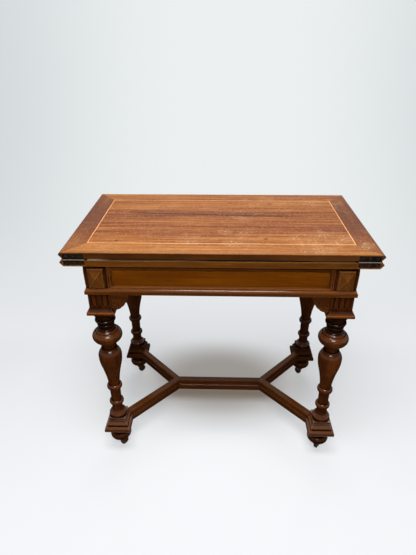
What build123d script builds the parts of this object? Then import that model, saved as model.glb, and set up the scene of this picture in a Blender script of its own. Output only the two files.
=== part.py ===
from build123d import *
import math
import os

# Folding card table. X runs along its length, Y to the back, Z up.
# The origin is on the floor, under the middle of the frame.

# The folded top: two leaves, one on the other, hinged along the front
top_length = 840.0
top_width = 475.0
table_height = 775.0
leaf_thickness = 18.0
leaf_gap = 5.0

# Nosed edge of a leaf: height as a share of the leaf, outward place and bulge of the run
# that ends there as shares of the nose
nose_out = 7.0
nose_shares = (
    (0.00, -0.29, 0.00),
    (0.57, 0.95, 0.00),
    (0.71, 0.95, 0.05),
    (1.00, 0.00, 0.10),
)

# Fits: parts that slide past each other, parts that turn in each other, cuts run past a face
slide_clearance = 0.3
fit_clearance = 0.05
cut_overrun = 2.0

# String inlaid in the upper face
string_width = 2.2
string_depth = 1.2
string_inset_x = 54.0
string_inset_y = 62.0

# Baize on the two inner faces and the tape that covers its edge
baize_border_x = 68.0
baize_border_back = 58.0
baize_setback = 1.5
baize_thickness = 1.0
baize_sunk = 0.6
tape_width = 12.0
tape_thickness = 0.5

# Butt hinges let into the front edges at both ends
hinge_length = 58.0
hinge_end_gap = 3.0
hinge_plate_height = 14.5
hinge_plate_thickness = 1.6
hinge_axis_out = 0.5
knuckle_radius = 2.1
knuckle_count = 5
hinge_pin_radius = 1.0
screws_in_a_plate = 3
screw_head_radius = 3.0
screw_shank_radius = 1.5
screw_length = 14.0
screw_slot_width = 0.8
screw_slot_depth = 0.7

# Corner legs: where they stand and their square upper blocks
leg_inset_x = 80.8
leg_inset_y = 44.7
block_half = 31.5
fluted_half = 31.0
fluted_height = 43.0
cove_height = 17.0
cove_hollow = 2.1
abacus_half = 39.5
abacus_edge = 8.0
flutes_on_a_face = 4
flute_radius = 4.6
flute_sink = 2.6
flute_end_gap = 5.0

# Turned stretch of the leg, with its ball
ball_radius = 44.8
ball_half_height = 28.0
ball_place_share = 0.778
ball_neck_share = 0.511
ball_shoulder_share = 0.777
leg_tenon_radius = 11.0
leg_tenon_in_bun = 20.0

# Outlines of the turned leg below and above its ball: height as a share of the turned stretch,
# radius and outward bulge of the run that ends there as shares of the ball's radius
foot_and_vase_shares = (
    (0.000, 0.574, 0.000),
    (0.029, 0.574, 0.065),
    (0.029, 0.532, 0.000),
    (0.083, 0.382, -0.062),
    (0.113, 0.372, 0.000),
    (0.113, 0.415, 0.000),
    (0.156, 0.415, 0.109),
    (0.156, 0.362, 0.000),
    (0.268, 0.383, 0.000),
    (0.268, 0.430, 0.000),
    (0.316, 0.430, 0.115),
    (0.316, 0.400, 0.000),
    (0.330, 0.404, 0.000),
    (0.443, 0.555, -0.019),
    (0.496, 0.670, 0.000),
    (0.587, 0.796, 0.030),
    (0.658, 0.543, 0.081),
    (0.670, 0.543, 0.000),
    (0.670, 0.468, 0.000),
    (0.697, 0.457, 0.000),
)
neck_and_rings_shares = (
    (0.819, 0.732, 0.000),
    (0.839, 0.553, 0.034),
    (0.852, 0.485, -0.026),
    (0.867, 0.485, 0.000),
    (0.867, 0.511, 0.000),
    (0.888, 0.511, 0.055),
    (0.888, 0.487, 0.000),
    (0.905, 0.617, -0.032),
    (0.905, 0.638, 0.000),
    (0.926, 0.638, 0.043),
    (0.926, 0.585, 0.000),
    (0.946, 0.585, 0.000),
    (0.979, 0.723, 0.047),
    (1.000, 0.734, 0.000),
)

# Stepped plinth under each leg: half width and height as shares of its own, and the bulge
plinth_height = 51.0
plinth_half = 42.5
plinth_shares = (
    (0.000, 1.000, 0.000),
    (0.150, 1.000, 0.000),
    (0.310, 0.890, 0.030),
    (0.335, 0.865, 0.000),
    (0.350, 0.740, 0.000),
    (0.440, 0.735, 0.000),
    (0.455, 0.802, 0.000),
    (0.545, 0.802, 0.000),
    (0.800, 0.640, -0.030),
    (0.815, 0.590, 0.000),
    (0.870, 0.590, 0.000),
    (0.885, 0.650, 0.000),
    (1.000, 0.650, 0.000),
)

# Bun foot: height and radius as shares of its own, and the bulge
bun_height = 55.0
bun_radius = 37.5
bun_shares = (
    (0.000, 0.500, 0.000),
    (0.520, 0.620, 0.370),
    (0.560, 0.620, 0.000),
    (0.840, 0.740, -0.030),
    (1.000, 0.740, 0.000),
)

# Swivel casters
caster_trail = 8.0
wheel_radius = 14.0
wheel_width = 12.0
wheel_edge_round = 2.5
axle_radius = 2.5
axle_head_radius = 4.0
axle_head_height = 1.2
fork_cheek = 2.5
fork_side_gap = 0.4
fork_head_radius = 12.0
fork_head_height = 16.2
fork_eye_radius = 6.0
fork_wheel_gap = 2.0
stem_radius = 4.0
stem_in_bun = 20.0
socket_wall = 2.0
socket_flange_radius = 17.0
socket_flange = 2.5
socket_end_gap = 2.0
caster_headings = {"front_left": 45.0, "front_right": 62.0, "back_left": 40.0, "back_right": 125.0}

# Rails between the blocks
rail_height = 93.0
rail_thickness = 22.0
rail_setback = 4.3
rail_tenon_length = 20.0
rail_tenon_thickness = 8.0
rail_tenon_shoulder = 14.0

# Applied frame round each recessed frieze field
frieze_stand = 6.0
frieze_side = 14.0
frieze_top = 21.3
frieze_bottom = 7.0
frieze_splay_share = 0.5

# Moulding round the foot of the rails and blocks: height as a share of its own,
# outward place as a share of its projection beyond the blocks
base_moulding_height = 19.0
base_moulding_out = 5.5
base_moulding_shares = (
    (0.00, 0.88),
    (0.06, 1.00),
    (0.46, 1.00),
    (0.52, 0.95),
    (0.66, 0.76),
    (0.80, 0.48),
    (0.86, 0.31),
    (1.00, 0.31),
)

# Faceted bosses on the outer faces of the blocks
boss_width = 46.0
boss_height = 63.0
boss_plate = 4.7
boss_splay = 3.2
boss_point = 8.0
boss_apex_share = 0.54
boss_drop = 9.8

# Carved brackets between blocks and rails: outline points as shares of their reach and drop
bracket_reach = 50.0
bracket_drop = 63.0
bracket_thickness = 18.0
bracket_setback = 2.3
bracket_lobe_shares = ((1.00, 0.08), (0.94, 0.30), (0.81, 0.50), (0.60, 0.70), (0.33, 0.83))
bracket_lobe_bulge = 1.6
bracket_tail_share = 0.16
bracket_tail_bulge = 2.0
volute_radius = 10.5
volute_place_shares = (0.22, 0.58)
volute_half_turns = 2
volute_cut_width = 2.2
volute_cut_depth = 2.0
volute_eye_radius = 3.4
volute_eye_stand = 1.6
vein_width = 1.4
vein_length_share = 0.4
pit_radius = 3.0
pit_depth = 5.0
pit_place_shares = (0.62, 0.40)

# Double-Y stretcher: section outline as shares of its half width and height
stretcher_bottom = 92.0
stretcher_height = 44.5
stretcher_half = 12.0
stretcher_shares = (
    (0.00, 0.86),
    (0.05, 1.00),
    (0.50, 1.00),
    (0.54, 0.84),
    (0.60, 0.84),
    (0.64, 0.96),
    (0.74, 1.00),
    (0.90, 1.00),
    (1.00, 0.78),
)
stretcher_tenon_length = 10.0
stretcher_tenon_half = 4.0
stretcher_tenon_height = 18.0
stretcher_tenon_rise = 8.0
arm_angle = 46.4

# Card well, pivot board and partition inside the frame
pivot_board_width = 140.0
pivot_board_thickness = 22.0
board_housing = 8.0
well_floor_thickness = 8.0
well_floor_rise = 14.0
well_groove = 5.0
partition_thickness = 12.0

# Pivot of the top on its board
pivot_plate_size = 64.0
pivot_plate_thickness = 3.0
pivot_plate_screw_inset = 10.0
pivot_bolt_radius = 6.0
pivot_bolt_tail = 3.0
pivot_bolt_head_radius = 9.0
pivot_bolt_head = 3.0
washer_radius = 15.0
washer_thickness = 2.0
nut_across_flats = 20.0
nut_height = 9.0
stop_pin_radius = 4.0
stop_pin_length = 14.0
stop_pin_in_leaf = 8.0
stop_groove_radius = 55.0
stop_groove_start = 135.0
swivel_travel = 90.0

# Levels and places that follow from the sizes above
upper_bottom = table_height - leaf_thickness
lower_top = upper_bottom - leaf_gap
lower_bottom = lower_top - leaf_thickness
frame_top = lower_bottom - slide_clearance
rail_bottom = frame_top - rail_height
fluted_bottom = rail_bottom - fluted_height
turning_top = fluted_bottom - cove_height - abacus_edge
caster_height = 2 * wheel_radius + fork_wheel_gap + fork_head_height + slide_clearance + socket_flange
bun_top = caster_height + bun_height
plinth_top = bun_top + plinth_height
turning_height = turning_top - plinth_top
leg_x = top_length / 2 - leg_inset_x
leg_y = top_width / 2 - leg_inset_y
hinge_axis_z = (upper_bottom + lower_top) / 2
front_face = -top_width / 2
hinge_axis_y = front_face - hinge_axis_out
pivot_x = top_width / 4
pivot_y = -top_width / 4
pivot_board_near = pivot_x - pivot_board_width / 2
pivot_plate_top = lower_bottom + pivot_plate_thickness
rail_inner_x = leg_x + block_half - rail_setback - rail_thickness
rail_inner_y = leg_y + block_half - rail_setback - rail_thickness
node_x = leg_x - leg_y / math.tan(math.radians(arm_angle))
arm_length = math.hypot(leg_x - node_x, leg_y)

# Each corner of the frame: signs of its X and Y, and the turn of its leg
corners = {
    "front_left": (-1, -1, 0),
    "front_right": (1, -1, 90),
    "back_right": (1, 1, 180),
    "back_left": (-1, 1, 270),
}

# Each side of the frame: turn about Z, leg centres along it and out from the middle
sides = {
    "front": (0, leg_x, leg_y),
    "right": (90, leg_y, leg_x),
    "back": (180, leg_x, leg_y),
    "left": (270, leg_y, leg_x),
}


def write(node, *solids):
    """Write the solids of one node to its STEP file."""
    shape = solids[0] if len(solids) == 1 else Compound(children=list(solids))
    shape.label = node
    export_step(shape, f"parts/{node}.step")


def block(x0, x1, y0, y1, z0, z1):
    """Box between two corners."""
    size = (abs(x1 - x0), abs(y1 - y0), abs(z1 - z0))
    return Pos((x0 + x1) / 2, (y0 + y1) / 2, (z0 + z1) / 2) * Box(*size)


def drum(radius, z0, z1, x=0, y=0):
    """Upright cylinder."""
    return Pos(x, y, (z0 + z1) / 2) * Cylinder(radius, z1 - z0)


def run(start, end, bulge):
    """Straight run, or an arc that bulges away from the axis, between two (radius, height) points."""
    if bulge == 0:
        return Line(start, end)
    length = math.dist(start, end)
    out = ((end[1] - start[1]) / length, -(end[0] - start[0]) / length)
    middle = tuple((a + b) / 2 + bulge * n for a, b, n in zip(start, end, out))
    return ThreePointArc(start, middle, end)


def runs(points):
    """Chain of runs through (radius, height, bulge) points."""
    return [run(a[:2], b[:2], b[2]) for a, b in zip(points, points[1:])]


def scaled(shares, width, height, rise=0):
    """Points of an outline from its table of shares."""
    return [(r * width, rise + z * height, bulge * width) for z, r, bulge in shares]


def turned(edges, start, end):
    """Solid of revolution about Z from outline edges that run from start to end."""
    closing = [Line(end, (0, end[1])), Line((0, end[1]), (0, start[1])), Line((0, start[1]), start)]
    face = make_face(Plane.XZ * (Curve() + edges + closing))
    return revolve(face, Axis.Z)


def square_turned(points):
    """Moulding of square plan with mitred corners from (half width, height, bulge) points."""
    right = runs(points)
    left = [edge.mirror(Plane.YZ) for edge in right]
    low, high = points[0], points[-1]
    caps = [Line((-low[0], low[1]), (low[0], low[1])), Line((-high[0], high[1]), (high[0], high[1]))]
    face = make_face(Plane.XZ * (Curve() + right + left + caps))
    widest = max(point[0] for point in points) + cut_overrun
    along = extrude(face, widest, both=True)
    return along & (Rot(0, 0, 90) * along)


def leg_turning():
    """The turned stretch of a leg, from the plinth to the abacus, and its round tenon below."""
    lower = scaled(foot_and_vase_shares, ball_radius, turning_height)
    upper = scaled(neck_and_rings_shares, ball_radius, turning_height)
    ball_z = ball_place_share * turning_height
    low_angle = -math.degrees(math.acos(ball_neck_share))
    sweep = math.degrees(math.acos(ball_shoulder_share)) - low_angle
    ball = EllipticalCenterArc((0, ball_z), ball_radius, ball_half_height, low_angle, arc_size=sweep)
    ball_low, ball_high = ball @ 0, ball @ 1
    edges = runs(lower)
    edges.append(Line(lower[-1][:2], (ball_low.X, ball_low.Y)))
    edges.append(ball)
    edges.append(Line((ball_high.X, ball_high.Y), upper[0][:2]))
    edges += runs(upper)
    column = turned(edges, lower[0][:2], upper[-1][:2])
    return Pos(0, 0, plinth_top) * column


def flutes():
    """Round-ended flutes sunk in the outer faces of a block whose outer corner is at -X -Y."""
    pitch = 2 * fluted_half / flutes_on_a_face
    low = fluted_bottom + flute_end_gap
    high = rail_bottom - flute_end_gap
    face_place = -(fluted_half + flute_radius - flute_sink)
    cuts = []
    for index in range(flutes_on_a_face):
        along = (index + 0.5) * pitch - fluted_half
        for x, y in ((along, face_place), (face_place, along)):
            cuts.append(drum(flute_radius, low, high, x, y))
            cuts += [Pos(x, y, z) * Sphere(flute_radius) for z in (low, high)]
    return cuts


def leg_shape():
    """A whole leg on the Z axis, with its outer corner at -X -Y."""
    abacus_top = turning_top + abacus_edge
    square = square_turned([
        (abacus_half, turning_top, 0),
        (abacus_half, abacus_top, 0),
        (fluted_half, fluted_bottom, -cove_hollow),
        (fluted_half, rail_bottom, 0),
        (block_half, rail_bottom, 0),
        (block_half, frame_top, 0),
    ])
    tenon = drum(leg_tenon_radius, bun_top - leg_tenon_in_bun, plinth_top + cut_overrun)
    return leg_turning() + square + tenon - flutes()


def rail_tenon(end, half_span, outer, grow=0):
    """Tenon at one end of a rail that runs along X with its outer face towards -Y."""
    middle = -(outer + block_half - rail_setback - rail_thickness / 2)
    low = rail_bottom + rail_tenon_shoulder - grow
    high = frame_top - rail_tenon_shoulder + grow
    half = rail_tenon_thickness / 2 + grow
    reach = end * (half_span + rail_tenon_length + grow)
    return block(end * half_span, reach, middle - half, middle + half, low, high)


def side_frame(angle):
    """Turn from a side's own frame, with its outer face towards -Y, to its place."""
    return Rot(0, 0, angle)


def rail(side):
    """Rail with a tenon at each end, grooved for the well floor and housed for the boards."""
    angle, centre, outer = sides[side]
    half_span = centre - block_half
    face = -(outer + block_half - rail_setback)
    body = block(-half_span, half_span, face, face + rail_thickness, rail_bottom, frame_top)
    for end in (-1, 1):
        body += rail_tenon(end, half_span, outer)
    return side_frame(angle) * body


def rail_mortises(grow):
    """The four rails' tenons, grown by a clearance, to cut from the legs."""
    cuts = []
    for angle, centre, outer in sides.values():
        for end in (-1, 1):
            cuts.append(side_frame(angle) * rail_tenon(end, centre - block_half, outer, grow))
    return cuts


def frieze_strips(side):
    """Four mitred strips that frame the recessed field of one rail, splayed towards the field."""
    angle, centre, outer = sides[side]
    half = centre - block_half
    face = -(outer + block_half - rail_setback)
    low = rail_bottom + base_moulding_height
    outer_box = [(-half, low), (half, low), (half, frame_top), (-half, frame_top)]
    field = (half - frieze_side, low + frieze_bottom, frame_top - frieze_top)
    inner_box = [(-field[0], field[1]), (field[0], field[1]), (field[0], field[2]), (-field[0], field[2])]
    mouth_box = [tuple(i + frieze_splay_share * (o - i) for i, o in zip(inner, rim))
                 for inner, rim in zip(inner_box, outer_box)]
    strips = []
    for index in range(len(outer_box)):
        following = (index + 1) % len(outer_box)
        sections = []
        for y, rim in ((face, inner_box), (face - frieze_stand, mouth_box)):
            ring = (outer_box[index], outer_box[following], rim[following], rim[index])
            sections.append(Face(Wire.make_polygon([(x, y, z) for x, z in ring])))
        strips.append(side_frame(angle) * loft(sections, ruled=True))
    return strips


def base_moulding(side):
    """Moulding round the foot of one side, mitred at the corners and cut round the blocks."""
    angle, centre, outer = sides[side]
    corner = centre + block_half
    face = outer + block_half
    tip = base_moulding_out
    points = [(-(face - rail_setback), rail_bottom)]
    for z, out in base_moulding_shares:
        points.append((-(face + out * tip), rail_bottom + z * base_moulding_height))
    points.append((-(face - rail_setback), rail_bottom + base_moulding_height))
    bar = extrude(make_face(Plane.YZ * Polyline(*points, close=True)), corner + tip, both=True)
    plan = Polyline(
        (-(corner + tip), -(face + tip)),
        (corner + tip, -(face + tip)),
        (corner - rail_setback, -(face - rail_setback)),
        (-(corner - rail_setback), -(face - rail_setback)),
        close=True)
    mitred = bar & (Pos(0, 0, rail_bottom) * extrude(make_face(plan), base_moulding_height))
    inner = -(outer - block_half)
    for end in (-1, 1):
        x = end * centre
        mitred -= block(x - block_half, x + block_half, -face, inner, rail_bottom, frame_top)
    return side_frame(angle) * mitred


def boss(side, end):
    """Splayed plate with a four-sided point, on the outer face of one block."""
    angle, centre, outer = sides[side]
    face = -(outer + block_half)
    high = frame_top - boss_drop
    low = high - boss_height
    x = end * centre
    near, far = x - boss_width / 2, x + boss_width / 2
    front = face - boss_plate
    foot = [(near, face, low), (far, face, low), (far, face, high), (near, face, high)]
    near, far, low, high = near + boss_splay, far - boss_splay, low + boss_splay, high - boss_splay
    rim = [(near, front, low), (far, front, low), (far, front, high), (near, front, high)]
    plate = loft([Face(Wire.make_polygon(foot)), Face(Wire.make_polygon(rim))], ruled=True)
    apex = Vertex(x, front - boss_point, low + boss_apex_share * (high - low))
    point = loft([Face(Wire.make_polygon(rim)), apex])
    return side_frame(angle) * (plate + point)


def bracket_face():
    """Outline of a bracket: X away from the block, Y up, its upper inner corner at the origin."""
    lobes = [(x * bracket_reach, -z * bracket_drop) for x, z in bracket_lobe_shares]
    tail = (bracket_tail_share * bracket_reach, -bracket_drop)
    edges = [Line((0, 0), (bracket_reach, 0)), Line((bracket_reach, 0), lobes[0])]
    edges += [run(b, a, bracket_lobe_bulge) for a, b in zip(lobes, lobes[1:])]
    edges.append(run(tail, lobes[-1], -bracket_tail_bulge))
    edges += [Line(tail, (0, -bracket_drop)), Line((0, -bracket_drop), (0, 0))]
    return make_face(Curve() + edges)


def half_ring(centre, radius, start, width):
    """Face of half a ring, from one angle round to the angle opposite."""
    wide = CenterArc(centre, radius + width / 2, start, 180)
    narrow = CenterArc(centre, radius - width / 2, start, 180)
    ends = [Line(wide @ place, narrow @ place) for place in (0, 1)]
    return make_face(Curve() + [wide, narrow] + ends)


def volute_grooves():
    """A spiral of half rings that narrows towards the eye."""
    centre_x = volute_place_shares[0] * bracket_reach
    centre_y = -volute_place_shares[1] * bracket_drop
    radius = volute_radius - volute_cut_width / 2
    step = (radius - volute_eye_radius - volute_cut_width / 2) / volute_half_turns
    grooves = []
    edge, heading, start = centre_x - radius, -1, 180
    for half_turn in range(volute_half_turns):
        middle = edge - heading * radius
        grooves.append(half_ring((middle, centre_y), radius, start, volute_cut_width))
        edge = middle - heading * radius
        heading = -heading
        start = 180 - start
        radius -= step
    return grooves


def bracket_shape():
    """A bracket in its own frame: X away from the block, Z up, carved face at Y = 0 towards -Y."""
    body = Pos(0, bracket_thickness, 0) * extrude(Plane.XZ * bracket_face(), bracket_thickness)
    centre = (volute_place_shares[0] * bracket_reach, -volute_place_shares[1] * bracket_drop)
    faces = volute_grooves()
    for x, z in bracket_lobe_shares[1:-1]:
        tip = (x * bracket_reach, -z * bracket_drop)
        root = tuple(t + vein_length_share * (c - t) for t, c in zip(tip, centre))
        faces.append(trace(Line(tip, root), vein_width))
    for face in faces:
        body -= Pos(0, volute_cut_depth, 0) * extrude(Plane.XZ * face, volute_cut_depth + cut_overrun)
    pit = (pit_place_shares[0] * bracket_reach, -pit_place_shares[1] * bracket_drop)
    body -= Pos(pit[0], pit_depth / 2, pit[1]) * (Rot(90, 0, 0) * Cone(0, pit_radius, pit_depth))
    eye = Pos(centre[0], 0, centre[1]) * (Rot(90, 0, 0) * Cylinder(volute_eye_radius, 2 * volute_eye_stand))
    return body + eye


def plinth_shape():
    """Stepped square plinth on the Z axis, bored for the leg's tenon."""
    steps = square_turned(scaled(plinth_shares, plinth_half, plinth_height, bun_top))
    return steps - drum(leg_tenon_radius + fit_clearance, bun_top - cut_overrun, plinth_top + cut_overrun)


def bun_shape():
    """Turned bun foot on the Z axis, bored for the leg's tenon above and the caster's socket below."""
    points = scaled(bun_shares, bun_radius, bun_height, caster_height)
    bun = turned(runs(points), points[0][:2], points[-1][:2])
    tenon_end = bun_top - leg_tenon_in_bun - slide_clearance
    socket_end = caster_height + stem_in_bun + socket_end_gap
    bun -= drum(leg_tenon_radius + fit_clearance, tenon_end, bun_top + cut_overrun)
    return bun - drum(stem_radius + socket_wall + fit_clearance, caster_height - cut_overrun, socket_end)


def socket_shape():
    """Flanged caster socket, pressed into the bun."""
    flange = drum(socket_flange_radius, caster_height - socket_flange, caster_height)
    tube = drum(stem_radius + socket_wall, caster_height, caster_height + stem_in_bun)
    bore = drum(stem_radius + fit_clearance, caster_height - socket_flange - cut_overrun, bun_top)
    return flange + tube - bore


def fork_shapes():
    """Caster fork with its stem, and the axle, on the Z axis with the trail along +X."""
    head_top = caster_height - socket_flange - slide_clearance
    head_bottom = 2 * wheel_radius + fork_wheel_gap
    fork = drum(stem_radius, head_bottom, caster_height + stem_in_bun - slide_clearance)
    fork += drum(fork_head_radius, head_bottom, head_top)
    inner = wheel_width / 2 + fork_side_gap
    eye_edges = Pos(caster_trail, wheel_radius) * Circle(fork_eye_radius)
    root_half = math.sqrt(fork_head_radius ** 2 - (inner + fork_cheek) ** 2)
    root = Pos(0, (head_bottom + head_top) / 2) * Rectangle(2 * root_half, head_top - head_bottom)
    side = make_hull(eye_edges.edges() + root.edges())
    for direction in (-1, 1):
        near = direction * (inner + fork_cheek / 2)
        fork += Pos(0, near + fork_cheek / 2, 0) * extrude(Plane.XZ * side, fork_cheek)
    half_axle = inner + fork_cheek
    lying = Pos(caster_trail, 0, wheel_radius) * Rot(90, 0, 0)
    fork -= lying * Cylinder(axle_radius + fit_clearance, 2 * (half_axle + cut_overrun))
    axle = lying * Cylinder(axle_radius, 2 * half_axle)
    for direction in (-1, 1):
        place = direction * (half_axle + axle_head_height / 2)
        axle += Pos(0, place, 0) * (lying * Cylinder(axle_head_radius, axle_head_height))
    return fork, axle


def wheel_shape():
    """Caster wheel with a rounded tread, on its axle's place."""
    wheel = Cylinder(wheel_radius, wheel_width)
    wheel = fillet(wheel.edges().filter_by(GeomType.CIRCLE), wheel_edge_round)
    wheel -= Cylinder(axle_radius + fit_clearance, wheel_width + 2 * cut_overrun)
    return Pos(caster_trail, 0, wheel_radius) * Rot(90, 0, 0) * wheel


def stretcher_section():
    """Section of the stretcher, in the YZ plane."""
    right = []
    for z, half in stretcher_shares:
        right.append((half * stretcher_half, stretcher_bottom + z * stretcher_height))
    left = [(-y, z) for y, z in reversed(right)]
    return make_face(Plane.YZ * Polyline(*right, *left, close=True))


def mitre(end, turn):
    """Plane between the middle bar and one arm, whose positive side holds the bar."""
    angle = math.radians(90 - arm_angle / 2)
    normal = (-end * math.sin(angle), -turn * math.cos(angle), 0)
    return Plane(origin=(end * node_x, 0, 0), z_dir=normal)


def stretcher_bar():
    """Middle bar of the stretcher, pointed at both ends to meet the arms."""
    bar = extrude(stretcher_section(), node_x + stretcher_half, both=True)
    for end in (-1, 1):
        for turn in (-1, 1):
            bar = split(bar, mitre(end, turn), keep=Keep.TOP)
    return bar


def arm_place(x_sign, y_sign):
    """From an arm's own frame, with the arm along +X, to the end of the middle bar."""
    heading = math.degrees(math.atan2(y_sign * leg_y, x_sign * (leg_x - node_x)))
    return Pos(x_sign * node_x, 0, 0) * Rot(0, 0, heading)


def stretcher_arm(x_sign, y_sign, plinth):
    """Arm from the end of the middle bar out to one plinth, with a tenon into it."""
    arm = extrude(stretcher_section(), arm_length, both=True)
    start = -arm_length / 2
    under_end = arm_length - plinth_half
    over_end = arm_length - plinth_half / 2
    under = block(start, under_end, -stretcher_half, stretcher_half, 0, bun_top)
    over = block(start, over_end, -stretcher_half, stretcher_half, bun_top, plinth_top)
    arm = arm_place(x_sign, y_sign) * (arm & (under + over))
    arm = split(arm, mitre(x_sign, y_sign), keep=Keep.BOTTOM)
    arm = split(arm, Plane(origin=(x_sign * node_x, 0, 0), z_dir=(0, y_sign, 0)), keep=Keep.TOP)
    return arm - plinth + arm_place(x_sign, y_sign) * arm_tenon()


def arm_tenon(grow=0):
    """Tenon of an arm, in the arm's own frame, from inside the arm to inside the plinth."""
    corner = arm_length - plinth_half * math.sqrt(2)
    near = corner - stretcher_tenon_length
    far = corner + stretcher_tenon_length + grow
    half = stretcher_tenon_half + grow
    low = bun_top + stretcher_tenon_rise - grow
    high = low + stretcher_tenon_height + 2 * grow
    return block(near, far, -half, half, low, high)


def pivot_board_shape():
    """Board across the frame that carries the top's pivot, with the groove for its stop pin."""
    end = rail_inner_y + board_housing
    far = pivot_board_near + pivot_board_width
    board = block(pivot_board_near, far, -end, end, frame_top - pivot_board_thickness, frame_top)
    bore_radius = pivot_bolt_radius + fit_clearance
    board -= drum(bore_radius, rail_bottom, frame_top + cut_overrun, pivot_x, pivot_y)
    path = CenterArc((0, 0), stop_groove_radius, stop_groove_start, swivel_travel)
    groove = SlotArc(path, 2 * (stop_pin_radius + slide_clearance))
    depth = stop_pin_length + slide_clearance
    return board - Pos(pivot_x, pivot_y, frame_top - depth) * extrude(groove, depth + cut_overrun)


def partition_shape():
    """Upright board beside the pivot board that closes the card well."""
    end = rail_inner_y + board_housing
    low = rail_bottom + well_floor_rise / 2
    return block(pivot_board_near - partition_thickness, pivot_board_near, -end, end, low, frame_top)


def well_floor_shape():
    """Floor of the card well, notched round the leg blocks, its edges in grooves."""
    near = -(rail_inner_x + well_groove)
    far = pivot_board_near - partition_thickness + well_groove
    end = rail_inner_y + well_groove
    low = rail_bottom + well_floor_rise
    floor = block(near, far, -end, end, low, low + well_floor_thickness)
    notch_x = -(leg_x - block_half - slide_clearance)
    notch_y = leg_y - block_half - slide_clearance
    for side in (-1, 1):
        corner_y = side * (leg_y + block_half)
        floor -= block(-(leg_x + block_half), notch_x, side * notch_y, corner_y, low, frame_top)
    return floor


def nosing(edge, low):
    """Runs up a nosed edge whose upper arris is at the given place."""
    points = []
    for z, out, bulge in nose_shares:
        points.append((edge + out * nose_out, low + z * leaf_thickness, bulge * nose_out))
    return runs(points)


def leaf_board(low):
    """A leaf with a nosed edge at both ends and along the back, square along the hinged front."""
    high = low + leaf_thickness
    right = nosing(top_length / 2, low)
    left = [edge.mirror(Plane.YZ) for edge in right]
    caps = [Line(left[0] @ 0, right[0] @ 0), Line(left[-1] @ 1, right[-1] @ 1)]
    along_y = extrude(make_face(Plane.XZ * (Curve() + right + left + caps)), top_width, both=True)
    back = nosing(top_width / 2, low)
    front = [Line(back[-1] @ 1, (front_face, high)), Line((front_face, high), (front_face, low))]
    front.append(Line((front_face, low), back[0] @ 0))
    along_x = extrude(make_face(Plane.YZ * (Curve() + back + front)), top_length, both=True)
    return along_y & along_x


def flip(shape):
    """Mirror a shape from the lower leaf's upper face to the upper leaf's lower face."""
    return mirror(shape, about=Plane.XY.offset(hinge_axis_z))


def baize_area(shrink, low, high):
    """Box over the baize's area, drawn in by a margin, between two heights."""
    half = top_length / 2 - baize_border_x - shrink
    near = front_face + baize_setback + shrink
    far = top_width / 2 - baize_border_back - shrink
    return block(-half, half, near, far, low, high)


def ring_block(half_x, half_y, width, low, high):
    """Rectangular ring centred on the Z axis, from its outer half sizes and its width."""
    inner_x, inner_y = half_x - width, half_y - width
    outer = block(-half_x, half_x, -half_y, half_y, low, high)
    return outer - block(-inner_x, inner_x, -inner_y, inner_y, low - cut_overrun, high + cut_overrun)


def string_shape():
    """String inlaid flush in the upper face."""
    half_x = top_length / 2 - string_inset_x
    half_y = top_width / 2 - string_inset_y
    return ring_block(half_x, half_y, string_width, table_height - string_depth, table_height)


def screw(grow=0):
    """Countersunk wood screw, head up, its flat top at Z = 0; grown, it is the hole for one."""
    shank, rim = screw_shank_radius + grow, screw_head_radius + grow
    middle = -hinge_plate_thickness / 2
    shape = Pos(0, 0, middle) * Cone(shank, rim, hinge_plate_thickness)
    shape += drum(shank, -screw_length - grow, middle)
    if grow:
        return shape + drum(rim, 0, cut_overrun)
    half_slot = screw_slot_width / 2
    reach = screw_head_radius + cut_overrun
    return shape - block(-reach, reach, -half_slot, half_slot, -screw_slot_depth, cut_overrun)


def plate_screws(level, grow=0):
    """Screws of both hinge plates on one leaf, at a level."""
    pitch = hinge_length / screws_in_a_plate
    placed = []
    for end in (-1, 1):
        for index in range(screws_in_a_plate):
            x = end * (top_length / 2 - hinge_end_gap - (index + 0.5) * pitch)
            placed.append(Pos(x, front_face, level) * Rot(90, 0, 0) * screw(grow))
    return placed


def hinge_plates(near, far, level, own):
    """Both plates on one leaf, between two heights, with the knuckles whose turn it is."""
    pitch = hinge_length / knuckle_count
    back = front_face + hinge_plate_thickness
    holes = plate_screws(level, fit_clearance)
    plates = []
    for end in (-1, 1):
        outer = end * (top_length / 2 - hinge_end_gap)
        plate = block(outer, outer - end * hinge_length, front_face, back, near, far)
        for index in range(own, knuckle_count, 2):
            start = outer - end * (index * pitch + slide_clearance / 2)
            stop = outer - end * ((index + 1) * pitch - slide_clearance / 2)
            plate += block(start, stop, front_face, back, near, hinge_axis_z)
            plate += hinge_rod(knuckle_radius, start, stop)
        plate -= hinge_rod(hinge_pin_radius + fit_clearance, -top_length / 2, top_length / 2)
        plates.append(plate - holes)
    return plates


def hinge_rod(radius, start, stop):
    """Cylinder on the hinge axis between two places along X."""
    lying = Pos((start + stop) / 2, hinge_axis_y, hinge_axis_z) * Rot(0, 90, 0)
    return lying * Cylinder(radius, abs(stop - start))


def hinge_pins():
    """The pin of each hinge, as long as its plates."""
    outer = top_length / 2 - hinge_end_gap
    return [hinge_rod(hinge_pin_radius, end * outer, end * (outer - hinge_length)) for end in (-1, 1)]


def pivot_screws(grow=0):
    """Screws that hold the pivot plate up against the lower leaf."""
    reach = pivot_plate_size / 2 - pivot_plate_screw_inset
    lying = Pos(pivot_x, pivot_y, lower_bottom) * Rot(180, 0, 0)
    return [lying * Pos(x, y, 0) * screw(grow) for x in (-reach, reach) for y in (-reach, reach)]


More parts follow.
